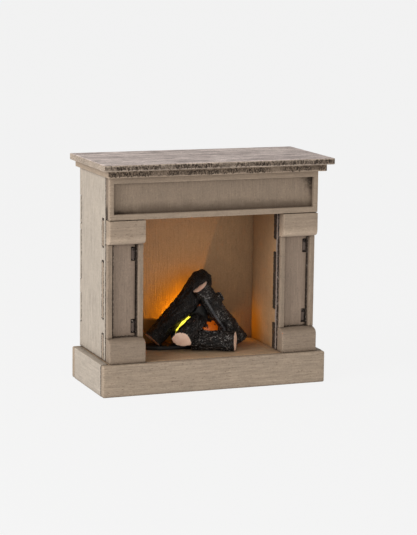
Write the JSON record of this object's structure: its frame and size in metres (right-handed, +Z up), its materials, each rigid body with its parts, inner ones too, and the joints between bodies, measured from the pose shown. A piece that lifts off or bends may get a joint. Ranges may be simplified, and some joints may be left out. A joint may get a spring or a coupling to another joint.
{
  "type": "dolls house fireplace",
  "caption": "Dolls house mantelpiece in distressed painted board, with framed frieze, sunk pilasters and a lit pile of charred logs on its hearth.",
  "frame": {"origin": "middle of the footprint, on the surface that the mantel stands on", "axes": "+X to the right seen from the front, +Y to the rear (the front faces -Y), +Z up"},
  "size_m": [0.1312, 0.0608, 0.125],
  "materials": {
    "painted_board": "matt chalky grey-beige paint, brushed on thin and rubbed back, with the grain and dark joints showing",
    "painted_panel": "matt grey-beige paint, darker and thinner in the sunk fields",
    "painted_shelf": "dry-brushed grey paint over a dark brown ground, streaked along the shelf",
    "firebox_board": "matt brown-grey paint, thin, over fine grain",
    "burnt_edge": "unpainted laser-cut edge, dark brown",
    "plain_board": "unpainted board",
    "charred_resin": "black moulded bark, dry-brushed grey on its ridges, with pink-beige cut ends",
    "amber_resin": "clear amber cast resin, lit from inside",
    "lamp_lens": "yellow lamp lens, lit",
    "black_plastic": "black moulded plastic",
    "bright_steel": "plated steel",
    "contact_brass": "thin sprung brass",
    "red_insulation": "red wire insulation",
    "black_insulation": "black wire insulation",
    "resistor_body": "lacquered ceramic"
  },
  "bodies": {
    "root": {"mantel_shelf": "painted_shelf", "bed_moulding": "painted_board", "frieze_frame": "painted_board", "frieze_panel": "painted_panel", "left_capital": "painted_board", "right_capital": "painted_board", "left_base_block": "painted_board", "right_base_block": "painted_board", "left_outer_stile": "painted_board", "left_inner_stile": "painted_board", "right_outer_stile": "painted_board", "right_inner_stile": "painted_board", "left_pilaster_panel": "painted_panel", "right_pilaster_panel": "painted_panel", "left_lower_key": "burnt_edge", "left_upper_key": "burnt_edge", "right_lower_key": "burnt_edge", "right_upper_key": "burnt_edge", "front_panel": "painted_board", "left_side_panel": "painted_board", "right_side_panel": "painted_board", "rear_panel": "painted_board", "left_firebox_cheek": "firebox_board", "right_firebox_cheek": "firebox_board", "firebox_back": "firebox_board", "firebox_ceiling": "firebox_board", "hearth_board": "firebox_board", "plinth_front_board": "painted_board", "plinth_rear_board": "painted_board", "plinth_left_board": "painted_board", "plinth_right_board": "painted_board", "base_board": "plain_board", "left_log": "charred_resin", "right_log": "charred_resin", "front_log": "charred_resin", "short_log": "charred_resin", "ember_glow": "amber_resin", "led_lamp": "lamp_lens", "battery_box": "black_plastic", "button_cell_1": "bright_steel", "button_cell_2": "bright_steel", "button_cell_3": "bright_steel", "positive_contact": "contact_brass", "negative_contact": "contact_brass", "contact_spring": "bright_steel", "switch_body": "bright_steel", "resistor": "resistor_body", "battery_lead": "red_insulation", "led_supply_lead": "red_insulation", "led_return_lead": "black_insulation"},
    "battery_door": {"battery_door": "black_plastic"},
    "door_screw": {"door_screw": "bright_steel"},
    "switch_slider": {"switch_slider": "black_plastic"}
  },
  "joints": [
    {"name": "switch_slide", "type": "slide", "parent": "root", "child": "switch_slider", "axis": [1, 0, 0], "range_m": [0, 0.002]},
    {"name": "battery_door_lift", "type": "slide", "parent": "root", "child": "battery_door", "axis": [0, 1, 0], "range_m": [0, 0.012]},
    {"name": "door_screw_turn", "type": "hinge", "parent": "battery_door", "child": "door_screw", "pos_m": [0.0156, 0.029, 0.1069], "axis": [0, 1, 0], "continuous": true}
  ]
}
